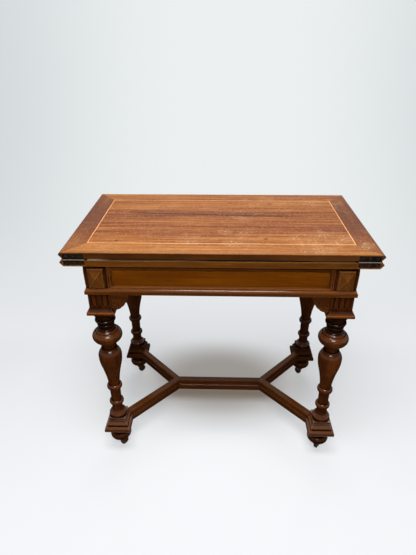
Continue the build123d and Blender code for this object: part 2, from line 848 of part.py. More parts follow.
def pivot_parts():
    """Pivot plate, bolt, washer and nut, which turn with the top."""
    bore = drum(pivot_bolt_radius + fit_clearance, rail_bottom, lower_top, pivot_x, pivot_y)
    washer_top = frame_top - pivot_board_thickness - slide_clearance
    nut_top = washer_top - washer_thickness
    nut_bottom = nut_top - nut_height
    head_top = pivot_plate_top + pivot_bolt_head
    bolt = drum(pivot_bolt_radius, nut_bottom - pivot_bolt_tail, pivot_plate_top, pivot_x, pivot_y)
    bolt += drum(pivot_bolt_head_radius, pivot_plate_top, head_top, pivot_x, pivot_y)
    washer = drum(washer_radius, nut_top, washer_top, pivot_x, pivot_y)
    hexagon = RegularPolygon(nut_across_flats / 2, 6, major_radius=False)
    nut = Pos(pivot_x, pivot_y, nut_bottom) * extrude(hexagon, nut_height)
    plate = pivot_plate_block(lower_bottom) - bore - pivot_screws(fit_clearance)
    return plate, bolt, washer - bore, nut - bore


def pivot_plate_block(low):
    """The pivot plate's outline, from a level up to the plate's top."""
    half = pivot_plate_size / 2
    return block(pivot_x - half, pivot_x + half, pivot_y - half, pivot_y + half, low, pivot_plate_top)


def stop_pin(grow=0):
    """Pin under the lower leaf that runs in the groove; grown, it is the hole for one."""
    angle = math.radians(stop_groove_start + swivel_travel)
    x = pivot_x + stop_groove_radius * math.cos(angle)
    y = pivot_y + stop_groove_radius * math.sin(angle)
    low, high = lower_bottom - stop_pin_length, lower_bottom + stop_pin_in_leaf
    return drum(stop_pin_radius + grow, low, high, x, y)


def hinge_pockets():
    """Pockets in the lower leaf's front edge for its hinge plates."""
    low, high = lower_top - hinge_plate_height, lower_top + cut_overrun
    near, far = front_face - cut_overrun, front_face + hinge_plate_thickness
    pockets = []
    for end in (-1, 1):
        outer = end * (top_length / 2 - hinge_end_gap)
        pockets.append(block(outer, outer - end * hinge_length, near, far, low, high))
    return pockets


def make_frame():
    """Legs, plinths, feet, rails, mouldings, boards and stretcher."""
    leg = leg_shape()
    plinth = plinth_shape()
    bun = bun_shape()
    boards = [pivot_board_shape(), partition_shape(), well_floor_shape()]
    mortises = rail_mortises(fit_clearance)
    placed_legs = []
    for name, (x_sign, y_sign, turn) in corners.items():
        place = Pos(x_sign * leg_x, y_sign * leg_y, 0)
        placed_leg = place * Rot(0, 0, turn) * leg - mortises
        placed_legs.append(placed_leg)
        placed_plinth = place * plinth
        arm_mortise = arm_place(x_sign, y_sign) * arm_tenon(fit_clearance)
        write(f"leg_{name}", placed_leg)
        write(f"plinth_{name}", placed_plinth - arm_mortise)
        write(f"stretcher_arm_{name}", stretcher_arm(x_sign, y_sign, placed_plinth))
        write(f"bun_foot_{name}", place * bun)
    write("stretcher_bar", stretcher_bar())
    bracket = bracket_shape()
    bosses, brackets = [], []
    for name, (angle, centre, outer) in sides.items():
        write(f"rail_{name}", rail(name) - boards)
        write(f"frieze_moulding_{name}", *frieze_strips(name))
        write(f"base_moulding_{name}", base_moulding(name))
        bosses += [boss(name, end) for end in (-1, 1)]
        face = -(outer + block_half - bracket_setback)
        half_span = centre - block_half
        right_hand = Pos(-half_span, face, rail_bottom) * bracket
        for shape in (right_hand, mirror(right_hand, about=Plane.YZ)):
            brackets.append(side_frame(angle) * shape - placed_legs)
    write("diamond_bosses", *bosses)
    write("scroll_brackets", *brackets)
    pivot_board, partition, well_floor = boards
    write("pivot_board", pivot_board)
    write("well_partition", partition - well_floor)
    write("well_floor", well_floor)


def make_casters():
    """Sockets, forks with their axles, and wheels."""
    sockets = []
    fork, axle = fork_shapes()
    wheel = wheel_shape()
    socket = socket_shape()
    for name, (x_sign, y_sign, _) in corners.items():
        place = Pos(x_sign * leg_x, y_sign * leg_y, 0)
        sockets.append(place * socket)
        headed = place * Rot(0, 0, caster_headings[name])
        write(f"caster_fork_{name}", headed * fork, headed * axle)
        write(f"caster_wheel_{name}", headed * wheel)
    write("caster_sockets", *sockets)


def make_top():
    """Both leaves with their baize, tape, hinges and pivot."""
    lower_level = lower_top - hinge_plate_height / 2
    upper_level = upper_bottom + hinge_plate_height / 2
    baize_low = lower_top - baize_sunk
    tape_low = baize_low + baize_thickness
    tape_high = tape_low + tape_thickness
    recess = baize_area(0, baize_low, lower_top + cut_overrun)
    baize = baize_area(0, baize_low, tape_low)
    tape = baize_area(0, tape_low, tape_high)
    tape -= baize_area(tape_width, tape_low - cut_overrun, tape_high + cut_overrun)
    pockets = hinge_pockets()
    head_radius = pivot_bolt_head_radius + fit_clearance
    lower = leaf_board(lower_bottom) - pockets - recess
    lower -= plate_screws(lower_level, fit_clearance) + pivot_screws(fit_clearance)
    lower -= [pivot_plate_block(lower_bottom - cut_overrun), stop_pin(fit_clearance)]
    lower -= drum(head_radius, lower_bottom, pivot_plate_top + pivot_bolt_head, pivot_x, pivot_y)
    string = string_shape()
    upper = leaf_board(upper_bottom) - [flip(pocket) for pocket in pockets] - flip(recess)
    upper -= plate_screws(upper_level, fit_clearance) + [string]
    plate, bolt, washer, nut = pivot_parts()
    write("lower_leaf", lower)
    write("lower_baize", baize)
    write("lower_tape", tape)
    lower_plates = hinge_plates(lower_top - hinge_plate_height, lower_top, lower_level, 0)
    upper_plates = hinge_plates(upper_bottom + hinge_plate_height, upper_bottom, upper_level, 1)
    write("lower_hinge_plates", *lower_plates)
    write("lower_leaf_screws", *(plate_screws(lower_level) + pivot_screws()))
    write("hinge_pins", *hinge_pins())
    write("pivot_plate", plate)
    write("pivot_bolt", bolt)
    write("pivot_washer", washer)
    write("pivot_nut", nut)
    write("stop_pin", stop_pin())
    write("upper_leaf", upper)
    write("upper_baize", flip(baize))
    write("upper_tape", flip(tape))
    write("upper_hinge_plates", *upper_plates)
    write("upper_leaf_screws", *plate_screws(upper_level))
    write("string_inlay", string)


os.makedirs("parts", exist_ok=True)
make_frame()
make_casters()
make_top()
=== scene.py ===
import bpy
import math
from mathutils import Matrix, Vector


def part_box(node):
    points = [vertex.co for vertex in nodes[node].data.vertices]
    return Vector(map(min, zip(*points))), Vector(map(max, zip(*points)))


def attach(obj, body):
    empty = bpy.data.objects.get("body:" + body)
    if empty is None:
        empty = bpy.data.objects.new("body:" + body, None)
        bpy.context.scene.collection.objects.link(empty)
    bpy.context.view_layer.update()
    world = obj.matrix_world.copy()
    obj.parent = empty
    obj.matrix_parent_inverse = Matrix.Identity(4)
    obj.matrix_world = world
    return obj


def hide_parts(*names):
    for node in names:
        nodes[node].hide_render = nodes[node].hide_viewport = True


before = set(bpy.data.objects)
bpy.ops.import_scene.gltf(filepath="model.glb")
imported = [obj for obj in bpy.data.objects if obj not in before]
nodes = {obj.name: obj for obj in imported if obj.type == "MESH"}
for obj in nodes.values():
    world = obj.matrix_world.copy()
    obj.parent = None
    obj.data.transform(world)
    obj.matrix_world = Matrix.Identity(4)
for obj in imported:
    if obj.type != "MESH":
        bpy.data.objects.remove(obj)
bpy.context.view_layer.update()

corners = ("front_left", "front_right", "back_left", "back_right")

# Turns that bring a piece's long grain onto X
ALONG_X = (0, 0, 0)
ALONG_Y = (0, 0, math.radians(-90))
UPRIGHT = (0, math.radians(90), 0)
ARM_ANGLE = math.radians(46.4)

# Places on the table, in metres: the top's face and the field inside its borders, the tape, the hinges' parting
# line, and heights on the legs
TOP_FACE = 0.775
FIELD_HALF_LENGTH, END_BORDER = 0.366, 0.054
FIELD_HALF_WIDTH, SIDE_BORDER = 0.1755, 0.062
TAPE_WIDTH = 0.012
HINGE_LINE = (0.7537, 0.7553)
FLUTED_BLOCK_FROM = 0.596
ABACUS_ARRIS = (0.5775, 0.5815)
# Stretches of a leg darkened with painted shade, and how much: the rings below the abacus, and the cove above it
LEG_SHADE_BANDS = ((0.506, 0.5725, 0.72), (0.586, 0.600, 0.55))

# Marks on the upper leaf: dark spots as X, Y and radius, rubbed places as X, Y, radius and strength
DARK_SPOTS = ((-0.289, -0.159, 0.0055), (-0.129, -0.166, 0.0055), (0.030, 0.151, 0.006), (0.162, 0.1435, 0.009),
              (0.126, -0.141, 0.006), (-0.048, -0.120, 0.004), (0.205, 0.020, 0.004))
RUBBED_PLACES = ((0.029, -0.170, 0.034, 1.0), (0.012, -0.095, 0.030, 0.8), (0.275, -0.209, 0.045, 0.8),
                 (0.346, -0.135, 0.040, 0.8), (0.212, -0.140, 0.030, 0.6), (0.150, 0.190, 0.045, 0.7),
                 (0.200, 0.150, 0.040, 0.6), (0.300, 0.150, 0.050, 0.8), (0.060, 0.010, 0.030, 0.5),
                 (0.395, -0.180, 0.035, 0.9), (-0.090, -0.150, 0.060, 0.5), (0.245, -0.175, 0.060, 0.6))

# Dark, middle and light tone of each polished wood
LEG_TONES = ((0.020, 0.0039, 0.0007), (0.058, 0.0136, 0.0021), (0.132, 0.0360, 0.0058))
PLINTH_TONES = ((0.020, 0.0050, 0.0010), (0.056, 0.0150, 0.0028), (0.125, 0.0390, 0.0075))
# Darker tones, painted shade for the pieces deep in shade under the table: the back plinths and the bun feet
SHADED_TONES = ((0.014, 0.0032, 0.0006), (0.036, 0.0090, 0.0015), (0.080, 0.0230, 0.0036))
BAR_TONES = ((0.024, 0.0052, 0.0008), (0.058, 0.0140, 0.0022), (0.120, 0.0350, 0.0060))
MOULDING_TONES = ((0.040, 0.0100, 0.0012), (0.092, 0.0250, 0.0030), (0.165, 0.0520, 0.0080))
BRACKET_TONES = ((0.032, 0.0070, 0.0012), (0.082, 0.0205, 0.0034), (0.160, 0.0480, 0.0078))
BOSS_TONES = ((0.055, 0.0150, 0.0022), (0.120, 0.0370, 0.0055), (0.205, 0.0740, 0.0130))
FRIEZE_TONES = ((0.118, 0.0290, 0.0008), (0.190, 0.0500, 0.0014), (0.290, 0.0900, 0.0034))
LOWER_LEAF_TONES = ((0.060, 0.0170, 0.0022), (0.125, 0.0400, 0.0050), (0.225, 0.0780, 0.0115))
LEAF_EDGE_TONES = ((0.024, 0.0064, 0.0008), (0.056, 0.0155, 0.0018), (0.110, 0.0340, 0.0048))
STRING_TONES = ((0.42, 0.165, 0.042), (0.68, 0.285, 0.080), (0.84, 0.400, 0.130))

# Studio paper: how far the floor reaches, the backdrop's height, and the curve that joins them
PAPER_REACH = 14.0
PAPER_HEIGHT = 7.0
CURVE_START = 1.1
CURVE_RADIUS = 1.4


class Wire:
    """A socket in a tree of nodes. Sums and products of wires add Math nodes."""

    def __init__(self, tree, socket=None):
        self.tree = tree
        self.socket = socket

    def node(self, kind, sockets=None, out=0, stops=None, **settings):
        """Add a node of any type: its settings first, then the values or links of its sockets."""
        made = self.tree.nodes.new(kind)
        for name, value in settings.items():
            setattr(made, name, value)
        if stops:
            ends = made.color_ramp.elements
            ends[0].position, ends[0].color = stops[0][0], (*stops[0][1], 1)
            ends[1].position, ends[1].color = stops[-1][0], (*stops[-1][1], 1)
            for place, tone in stops[1:-1]:
                ends.new(place).color = (*tone, 1)
        for key, value in (sockets or {}).items():
            if isinstance(value, Wire):
                self.tree.links.new(value.socket, made.inputs[key])
            else:
                made.inputs[key].default_value = value
        return Wire(self.tree, made.outputs[out])

    def join(self, operation, first, second):
        return self.node("ShaderNodeMath", {0: first, 1: second}, operation=operation)

    def __add__(self, other):
        return self.join("ADD", self, other)

    def __sub__(self, other):
        return self.join("SUBTRACT", self, other)

    def __rsub__(self, other):
        return self.join("SUBTRACT", other, self)

    def __mul__(self, other):
        return self.join("MULTIPLY", self, other)

    def __truediv__(self, other):
        return self.join("DIVIDE", self, other)

    __radd__ = __add__
    __rmul__ = __mul__


def begin(name):
    """An empty material, the wire that its nodes start from, and the place of each point on the piece."""
    material = bpy.data.materials.new(name)
    material.use_nodes = True
    material.node_tree.nodes.clear()
    bench = Wire(material.node_tree)
    return material, bench, bench.node("ShaderNodeTexCoord", out="Object")


def surface(shader):
    """Make a shader its material's surface."""
    output = shader.tree.nodes.new("ShaderNodeOutputMaterial")
    shader.tree.links.new(shader.socket, output.inputs["Surface"])


def unsigned(value):
    return value.node("ShaderNodeMath", {0: value}, operation="ABSOLUTE")


def higher(first, second):
    return first.join("MAXIMUM", first, second)


def clamped(value):
    return value.node("ShaderNodeClamp", {"Value": value})


def rise(value, low, high):
    """Smooth 0 to 1 while a value goes from low to high."""
    return value.node("ShaderNodeMapRange", {"Value": value, "From Min": low, "From Max": high},
                      interpolation_type="SMOOTHSTEP")


def between(value, low, high, soft):
    """1 while a value is between low and high, 0 outside, with soft ends."""
    return rise(value, low - soft, low) * (1 - rise(value, high, high + soft))


def near_zero(value, inner, outer):
    """1 where a value is within inner of zero, 0 beyond outer."""
    return 1 - rise(unsigned(value), inner, outer)


def distance(vector):
    """Length of a vector."""
    return vector.node("ShaderNodeVectorMath", {0: vector}, out="Value", operation="LENGTH")


def stretched(place, x, y, z):
    return place.node("ShaderNodeVectorMath", {0: place, 1: (x, y, z)}, operation="MULTIPLY")


def turned(place, turn, shift=(0, 0, 0)):
    """Places turned so that the grain runs along X, and shifted to another stretch of it."""
    return place.node("ShaderNodeMapping", {"Vector": place, "Rotation": turn, "Location": shift})


def apart(vector):
    """The three parts of a vector."""
    split = vector.node("ShaderNodeSeparateXYZ", {0: vector}).socket.node
    return [Wire(vector.tree, split.outputs[index]) for index in range(3)]


def noise(place, detail=3.0, rough=0.55, warp=0.0, scale=1.0):
    return place.node("ShaderNodeTexNoise", {"Vector": place, "Scale": scale, "Detail": detail, "Roughness": rough,
                                             "Distortion": warp})


def spot(place, x, y, radius, squash=(1, 1, 1)):
    """1 in the middle of a spot on the top's face, 0 past its radius."""
    off = place.node("ShaderNodeVectorMath", {0: place, 1: (x, y, TOP_FACE)}, operation="SUBTRACT")
    return 1 - rise(distance(stretched(off, *squash)), radius * 0.3, radius)


def toned(colour, share):
    """A colour made darker or lighter by a share."""
    return [part * share for part in colour]


def ramp(tone, *stops):
    """Colour that follows a tone, through stops that are each a place and a colour."""
    return tone.node("ShaderNodeValToRGB", {0: tone}, stops=stops)


def blended(share, first, second):
    """Colour between two colours, each a wire or three numbers."""
    first, second = (end if isinstance(end, Wire) else (*end, 1) for end in (first, second))
    return share.node("ShaderNodeMix", {0: share, 6: first, 7: second}, out=2, data_type="RGBA")


def bumped(height, depth, strength, normal=None):
    """Normal of a surface with small relief."""
    sockets = {"Height": height, "Distance": depth, "Strength": strength}
    if normal:
        sockets["Normal"] = normal
    return height.node("ShaderNodeBump", sockets)


def edges_and_corners(bench, radius, reach=0.014, open_at=0.90):
    """Softened normal, a mask of outer arrises, and a mask of inner corners, for soiling and painted shade."""
    soft = bench.node("ShaderNodeBevel", {"Radius": radius}, samples=4)
    flat = bench.node("ShaderNodeNewGeometry", out="Normal")
    alike = bench.node("ShaderNodeVectorMath", {0: soft, 1: flat}, out="Value", operation="DOT_PRODUCT")
    openness = bench.node("ShaderNodeAmbientOcclusion", {"Distance": reach}, out="AO", samples=5)
    arris = rise(1 - alike, 0.015, 0.12) * rise(openness, 0.42, 0.72)
    corner = clamped((1 - rise(openness, 0.38, open_at)) * 1.35)
    return soft, arris, corner


def polished_wood(name, turn, tones, roughness=0.30, edge_wear_and_light=0.7, dirt_and_shade=0.95, shift=(0, 0, 0), coat=0.008, shine=0.16,
                  reach=0.014, open_at=0.90, round_over=0.0022, painted_top_light=0.25, rubbed_shine=0.03, matt_above=None,
                  pale_band=None, shaded_bands=()):
    """Old polished wood: streaked grain along the piece, open pores, rubbed arrises, and soiling and painted shade in
    its corners.

    edge_wear_and_light is for the arrises, which it lightens as rubbing and, on the plinths, as painted highlights;
    dirt_and_shade is for the corners, soiling and painted shade, which are found within reach and end where the
    surface is as open as open_at. The polish is coat all over, with shine added on faces that look up, below
    matt_above, and rubbed_shine on the arrises. Faces that look up are also lightened by painted_top_light, a painted
    light from above. round_over softens the arrises. Between the heights of pale_band the wood is lightened, a
    painted highlight, and between those of shaded_bands it is darkened with painted shade.
    """
    material, bench, place = begin(name)
    z = apart(place)[2]
    dark, middle, light = tones
    lined = turned(place, turn, shift)
    figure = noise(stretched(lined, 2.4, 26, 26), 3, 0.6, 0.8)
    fibre = noise(stretched(lined, 11, 420, 420), 4, 0.6, 0.2)
    pores = rise(noise(stretched(lined, 70, 1500, 1500), 1), 0.60, 0.72)
    cloud = noise(place, 3, 0.6, 0.4, 14)
    soft, arris, corner = edges_and_corners(bench, round_over, reach, open_at)
    upward = rise(apart(soft)[2], 0.24, 0.60)
    waxed = upward * shine
    if matt_above:
        waxed = waxed * (1 - rise(z, matt_above, matt_above + 0.004))
    tone = clamped(figure * 0.62 + fibre * 0.48 - 0.05)
    colour = ramp(tone, (0.28, dark), (0.50, middle), (0.74, light))
    colour = blended(pores * 0.45, colour, toned(dark, 0.35))
    colour = blended(rise(cloud, 0.35, 0.75) * 0.30, colour, dark)
    # Rubbed arrises, and painted light on faces that look up
    rubbed = clamped(arris * rise(cloud, 0.25, 0.55) * edge_wear_and_light + upward * painted_top_light) * (1 - corner)
    # Painted highlight: a lighter band between two heights, at the legs' abacus arris
    if pale_band:
        rubbed = clamped(rubbed + between(z, *pale_band, 0.001) * 0.45)
    colour = blended(rubbed, colour, toned(light, 2.5))
    # Corners darkened: dirt, and painted shade in the hollows and under the parts
    colour = blended(corner * dirt_and_shade, colour, toned(dark, 0.10))
    # Painted shade on the given height bands, less on the arrises
    for low, high, strength in shaded_bands:
        darkening = between(z, low, high, 0.003) * (1 - arris * 0.6)
        colour = blended(darkening * strength, colour, toned(dark, 0.20))
    dull = rise(noise(place, 4, 0.6, 0.0, 45), 0.45, 0.75)
    rough = roughness + fibre * 0.06 + dull * 0.12 + rubbed * 0.15 + corner * 0.25
    height = fibre * 0.35 - pores * 0.7 + noise(place, 2, 0.5, 0.0, 60) * 0.5
    surface(bench.node("ShaderNodeBsdfPrincipled", {
        "Base Color": colour, "Roughness": clamped(rough), "Normal": bumped(height, 0.0003, 0.5, soft),
        "Coat Weight": clamped(coat + waxed + arris * rubbed_shine) * (1 - corner),
        "Coat Roughness": 0.16, "Coat IOR": 2.3, "Specular IOR Level": 0.0}))
    return material


def scratched_top(name):
    """Upper leaf: long grain inside the string, mitred borders at both ends, stains and scratches."""
    material, bench, place = begin(name)
    x, y, z = apart(place)
    face = rise(z, 0.7720, 0.7746)

    # Grain, which runs across the table in the end borders
    mitre = (unsigned(x) - FIELD_HALF_LENGTH) / END_BORDER
    mitre = mitre - higher((unsigned(y) - FIELD_HALF_WIDTH) / SIDE_BORDER, 0.0)
    end_border = rise(mitre, -0.012, 0.012)
    joint = rise(mitre, -0.035, -0.005) - end_border
    across = turned(place, ALONG_Y, (0.31, 0.17, 0))
    lined = bench.node("ShaderNodeMix", {0: end_border, 4: place, 5: across}, out=1, data_type="VECTOR")
    boards = noise(stretched(lined, 1.1, 16, 3), 3, 0.6, 0.5)
    streak = noise(stretched(lined, 3.2, 120, 20), 4, 0.62, 0.3)
    thread = noise(stretched(lined, 11.0, 380, 60), 3, 0.65, 0.3)
    pores = rise(noise(stretched(lined, 32, 900, 200), 2), 0.58, 0.70)

    # Colour of the bare face: a redder band along its middle, a paler front, and aged end borders
    band = rise(y, -0.160, -0.050) * (1 - rise(y, 0.050, 0.105))
    tone = clamped(boards * 0.40 + streak * 0.78 + thread * 0.44 - 0.32 - band * 0.10)
    colour = ramp(tone, (0.26, (0.135, 0.036, 0.013)), (0.40, (0.250, 0.073, 0.020)),
                  (0.52, (0.380, 0.134, 0.033)), (0.64, (0.480, 0.194, 0.050)), (0.80, (0.620, 0.300, 0.098)))
    front = 1 - rise(y, -0.235, -0.120)
    colour = blended(front * 0.20, colour, (0.560, 0.260, 0.075))
    red = rise(noise(stretched(lined, 1.4, 70, 8), 3, 0.55, 0.3), 0.50, 0.64) * (0.22 + band * 0.78)
    colour = blended(red * 0.58, colour, (0.235, 0.058, 0.026))
    aged = end_border * (0.62 + rise(y, -0.150, -0.03) * 0.38 - rise(y, 0.08, 0.20) * 0.20)
    colour = blended(aged * 0.95, colour, (0.142, 0.046, 0.023))
    colour = blended(end_border * rise(streak, 0.5, 0.8) * 0.35, colour, (0.300, 0.125, 0.060))
    colour = blended(pores * 0.40, colour, (0.130, 0.036, 0.014))

    # Crack along the middle of the field, fainter towards its ends
    drift = (noise(stretched(place, 6, 9, 9), 2, 0.5) - 0.5) * 0.012
    crack = near_zero(y + x * 0.052 + drift - 0.0405, 0.0022, 0.0060)
    reach = rise(x, -0.34, -0.20) * (1 - rise(x, 0.10, 0.36))
    crack = crack * clamped(reach * 1.9 - noise(stretched(place, 18, 30, 4), 2) * 0.9)
    crack = crack * (1 - end_border)
    colour = blended(crack * 0.92, colour, (0.028, 0.013, 0.015))
    spots = 0.0
    for spot_x, spot_y, radius in DARK_SPOTS:
        spots = higher(spot(place, spot_x, spot_y, radius, squash=(0.6, 1, 0)), spots)
    colour = blended(spots * 0.85, colour, (0.055, 0.020, 0.016))

    # Rubbed places, where chalky flecks and short scratches gather
    rubbed_place = rise(noise(place, 3, 0.6, 0.8, 10), 0.53, 0.68) * clamped(rise(x, -0.30, 0.32) * 0.45 + 0.18)
    for spot_x, spot_y, radius, strength in RUBBED_PLACES:
        rubbed_place = higher(spot(place, spot_x, spot_y, radius) * strength, rubbed_place)
    lines = near_zero(noise(stretched(place, 30, 42, 1), 2, 0.5, 1.4) - 0.5, 0.002, 0.016)
    lines = lines + near_zero(noise(stretched(place, 75, 24, 1), 1, 0.4, 0.8) - 0.52, 0.002, 0.014)
    lines = lines * rise(noise(place, 2, 0.5, 0, 42), 0.48, 0.60)
    fleck = 1 - rise(bench.node("ShaderNodeTexVoronoi", {"Vector": place, "Scale": 130.0}), 0.12, 0.30)
    fleck = fleck * rise(noise(place, 2, 0.5, 0, 60), 0.46, 0.56)
    marks = clamped((lines * 0.8 + fleck) * rubbed_place)
    colour = blended(rubbed_place * 0.20, colour, (0.660, 0.370, 0.180))
    colour = blended(marks * 0.85, colour, (0.820, 0.610, 0.430))

    # Dust, speckles of both kinds, the mitres' dark joints and the nosing
    dusty = rise(noise(stretched(place, 1, 1.6, 1), 5, 0.7, 0.6, 16), 0.50, 0.72)
    colour = blended(dusty * 0.12, colour, (0.700, 0.420, 0.230))
    speckle = rise(noise(stretched(place, 150, 240, 1), 2, 0.6), 0.54, 0.70)
    colour = blended(speckle * (1 - end_border * 0.5) * 0.38, colour, (0.700, 0.380, 0.150))
    specks = rise(noise(stretched(place, 230, 330, 1), 1, 0.5), 0.60, 0.72)
    colour = blended(specks * 0.40, colour, (0.190, 0.062, 0.024))
    colour = blended(joint * 0.65, colour, (0.110, 0.036, 0.018))
    nosing = (1 - rise(y, -0.240, -0.222)) * 0.36
    colour = blended(nosing, colour, (0.200, 0.070, 0.020))

    # Edges of the leaf, paler towards the right, and its inner face
    side_streak = clamped(streak * 0.6 + thread * 0.5)
    places = (0.34, 0.54, 0.76)
    edge_tone = ramp(side_streak, *zip(places, LEAF_EDGE_TONES))
    edge_tone = blended(rise(x, -0.05, 0.42) * 0.30, edge_tone, (0.160, 0.0560, 0.0120))
    inner_tone = ramp(side_streak, *zip(places, LOWER_LEAF_TONES))
    facing = apart(bench.node("ShaderNodeTexCoord", out="Normal"))[2]
    edge_tone = blended(rise(0 - facing, 0.70, 0.95), edge_tone, inner_tone)
    colour = blended(face, edge_tone, colour)

    soft, arris, corner = edges_and_corners(bench, 0.0012)
    rubbed = arris * rise(noise(place, 3, 0.6, 0.3, 30), 0.36, 0.60)
    colour = blended(rubbed * 0.35, colour, (0.560, 0.270, 0.100))
    # Edges darkened in their corners: dirt, and painted shade
    colour = blended(corner * (1 - face) * 0.6, colour, (0.008, 0.003, 0.001))
    cloud = noise(place, 3, 0.55, 0.5, 7)
    rough = 0.46 + cloud * 0.14 + marks * 0.25 + rubbed_place * 0.12 - (1 - face) * 0.12
    height = thread * 0.5 - pores * 0.6 - crack * 6 - marks * 0.8 - joint * face * 1.5
    surface(bench.node("ShaderNodeBsdfPrincipled", {
        "Base Color": colour, "Roughness": clamped(rough), "Normal": bumped(height, 0.0003, 0.6, soft),
        "Specular IOR Level": 0.04}))
    return material


def raw_wood(name, turn):
    """Unpolished inner board."""
    material, bench, place = begin(name)
    lined = turned(place, turn)
    rings = noise(stretched(lined, 1.5, 38, 38), 3, 0.55, 1.1)
    fibre = noise(stretched(lined, 14, 500, 500), 3)
    tone = clamped(rings * 0.7 + fibre * 0.35)
    colour = ramp(tone, (0.30, (0.160, 0.075, 0.030)), (0.52, (0.300, 0.160, 0.070)), (0.75, (0.430, 0.260, 0.130)))
    # Grime, darker in random patches
    darkening = rise(noise(place, 3, 0.6, 0.0, 12), 0.45, 0.75)
    colour = blended(darkening * 0.5, colour, (0.090, 0.055, 0.030))
    soft, arris, corner = edges_and_corners(bench, 0.001)
    # Corners darkened: dirt, and painted shade
    colour = blended(corner * 0.5, colour, (0.040, 0.022, 0.012))
    surface(bench.node("ShaderNodeBsdfPrincipled", {
        "Base Color": colour, "Roughness": 0.72 + darkening * 0.12,
        "Normal": bumped(fibre + arris * 0.2, 0.0004, 0.6, soft)}))
    return material


def old_metal(name, clean, tarnish, roughness, rubbed=None, pale_band=None):
    """Handled metal with tarnish, rubbed bright along its edges, and pale between the heights of pale_band."""
    material, bench, place = begin(name)
    mottle = noise(place, 4, 0.65, 0.3, 130)
    blotch = noise(place, 3, 0.6, 0.6, 45)
    soft, arris, corner = edges_and_corners(bench, 0.0004)
    dulled = rise(mottle * 0.5 + blotch * 0.5, 0.38, 0.60)
    bright = arris * rise(blotch, 0.35, 0.6) * 0.6
    # A pale line between two heights, along the hinges' parting line
    if pale_band:
        bright = clamped(bright + between(apart(place)[2], *pale_band, 0.0004) * (1.1 - dulled * 0.3))
    colour = blended(dulled, clean, tarnish)
    colour = blended(bright * 0.8, colour, rubbed or toned(clean, 1.8))
    colour = blended(corner * 0.7, colour, toned(tarnish, 0.3))
    rough = roughness + dulled * 0.30 + corner * 0.2 - bright * 0.1
    height = mottle + noise(place, 2, 0.5, 0.0, 600) * 0.5
    surface(bench.node("ShaderNodeBsdfPrincipled", {
        "Base Color": colour, "Metallic": 1 - dulled * 0.55, "Roughness": clamped(rough),
        "Normal": bumped(height, 0.0001, 0.4, soft), "Specular IOR Level": 0.12}))
    return material


def woven_cloth(name, dark, light, pitch, nap, stained_and_shaded=False):
    """Cloth whose two threads show, softened by its nap, with fading and rubbing in places."""
    material, bench, place = begin(name)
    x, y = apart(place)[:2]
    warp = bench.node("ShaderNodeMath", {0: x * (2 * math.pi / pitch)}, operation="SINE")
    weft = bench.node("ShaderNodeMath", {0: y * (2 * math.pi / pitch)}, operation="SINE")
    weave = warp * weft * 0.5 + 0.5
    fuzz = noise(place, 4, 0.7, 0.5, 900)
    fade = noise(place, 3, 0.6, 0.4, 9)
    tone = clamped(weave * (1 - nap) + fuzz * nap + (fade - 0.5) * 0.5)
    colour = ramp(tone, (0.20, dark), (0.75, light))
    if stained_and_shaded:
        # Clean at the left end, then stained olive, and near-black green along the middle: painted shade, where the gap
        # between the leaves is widest
        olive = rise(x, -0.330, -0.285)
        green = rise(x, -0.075, -0.020) * (1 - rise(x, 0.215, 0.275))
        colour = blended(olive * 0.92, colour, (0.085, 0.047, 0.014))
        colour = blended(green * 0.92, colour, (0.006, 0.012, 0.005))
    relief = weave * (1 - nap) + fuzz * nap * 1.6
    surface(bench.node("ShaderNodeBsdfPrincipled", {
        "Base Color": colour, "Roughness": 0.88 + fade * 0.08, "Normal": bumped(relief, 0.0004, 0.7),
        "Sheen Weight": 0.06, "Sheen Roughness": 0.5, "Specular IOR Level": 0.1}))
    return material


def wear_material(node, material):
    """Give every face of a frame node one finish."""
    piece = nodes[node]
    piece.data.materials.clear()
    piece.data.materials.append(material)


# Legs, feet and stretcher
leg_wood = polished_wood("turned_leg_polish", UPRIGHT, LEG_TONES, roughness=0.24, edge_wear_and_light=0.9, dirt_and_shade=1.0,
                         shift=(0.13, 0.4, 0.2), shine=0.20, reach=0.050, open_at=0.99, painted_top_light=0.16,
                         matt_above=FLUTED_BLOCK_FROM, pale_band=ABACUS_ARRIS, shaded_bands=LEG_SHADE_BANDS)
# Bun feet and back plinths take the darker tones: painted shade
shaded_bun_wood = polished_wood("bun_foot_shaded_polish", UPRIGHT, SHADED_TONES, roughness=0.36, edge_wear_and_light=0.5, dirt_and_shade=1.0,
                         shift=(0.7, 0.1, 0.5), coat=0.004, shine=0.06, reach=0.030)
# Arrises lightened strongly: rubbed wear, and painted highlights on the tiers' edges
plinth_wood = polished_wood("plinth_polish", ALONG_X, PLINTH_TONES, roughness=0.28, edge_wear_and_light=2.4, dirt_and_shade=1.0,
                            shift=(0.2, 0.9, 0.3), coat=0.050, shine=0.22, reach=0.010, round_over=0.0024,
                            painted_top_light=0.26, rubbed_shine=0.50)
shaded_back_plinth_wood = polished_wood("back_plinth_shaded_polish", ALONG_X, SHADED_TONES, edge_wear_and_light=1.2, dirt_and_shade=1.0,
                                 shift=(0.5, 0.1, 0.7), coat=0.004, shine=0.04, reach=0.012, painted_top_light=0.10)
bar_wood = polished_wood("stretcher_bar_polish", ALONG_X, BAR_TONES, roughness=0.26, edge_wear_and_light=0.8,
                         shift=(0.5, 0.2, 0.8), shine=0.02, painted_top_light=0.06)
arm_wood = {sign: polished_wood("stretcher_arm_polish_" + word, (0, 0, -sign * ARM_ANGLE), PLINTH_TONES,
                                roughness=0.26, edge_wear_and_light=0.9, shift=(0.1 * sign, 0.3, 0.6), shine=0.02, painted_top_light=0.14)
            for sign, word in ((1, "rising"), (-1, "falling"))}
for corner in corners:
    wear_material("leg_" + corner, leg_wood)
    wear_material("bun_foot_" + corner, shaded_bun_wood)
    wear_material("plinth_" + corner, shaded_back_plinth_wood if corner.startswith("back") else plinth_wood)
    wear_material("stretcher_arm_" + corner, arm_wood[1 if corner in ("front_left", "back_right") else -1])
wear_material("stretcher_bar", bar_wood)

